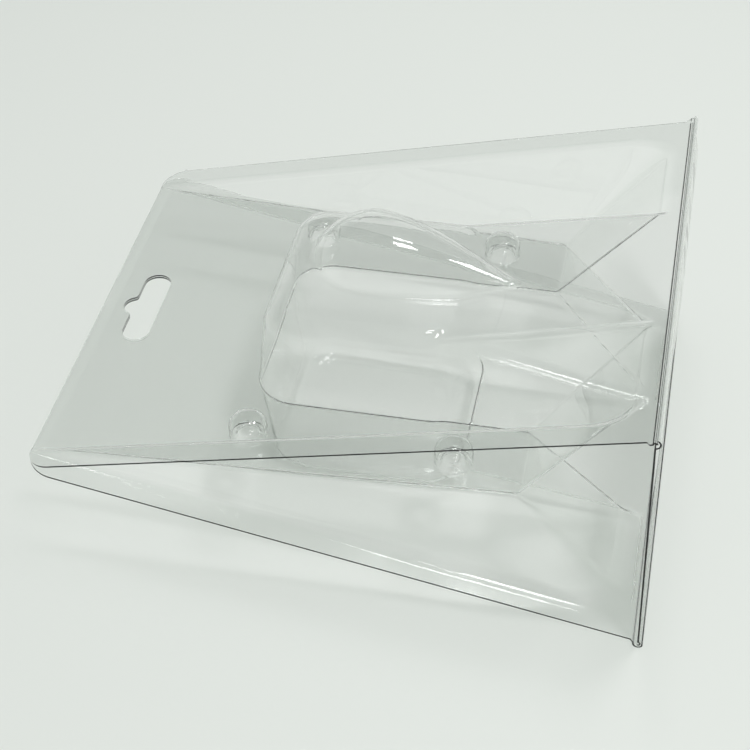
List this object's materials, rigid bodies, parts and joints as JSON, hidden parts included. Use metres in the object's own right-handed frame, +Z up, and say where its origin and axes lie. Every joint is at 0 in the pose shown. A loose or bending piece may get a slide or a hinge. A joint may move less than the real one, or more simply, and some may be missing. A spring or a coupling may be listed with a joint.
{
  "type": "blister pack",
  "caption": "Empty clear plastic clamshell pack with two recessed halves on a hinged base panel, a product pocket and a hanging hole.",
  "frame": {"origin": "middle of the footprint on the table, with the pack lying on its back half", "axes": "+X from the narrow hanging end to the base panel, +Y across the width to the far side in the picture, +Z up"},
  "size_m": [0.1802, 0.148, 0.0809],
  "materials": {
    "clear_plastic": "clear thermoformed sheet with a faint grey-green tint, glossy"
  },
  "bodies": {
    "back": {"back_half": "clear_plastic"},
    "base": {"base_panel": "clear_plastic"},
    "front": {"front_half": "clear_plastic"}
  },
  "joints": [
    {"name": "back_fold", "type": "hinge", "parent": "back", "child": "base", "pos_m": [0.08882, 0, 0.00165], "axis": [0, 1, 0], "range_deg": [0, 103]},
    {"name": "front_fold", "type": "hinge", "parent": "base", "child": "front", "pos_m": [0.0829, 0, 0.07943], "axis": [0, 1, 0], "range_deg": [0, 101]}
  ]
}
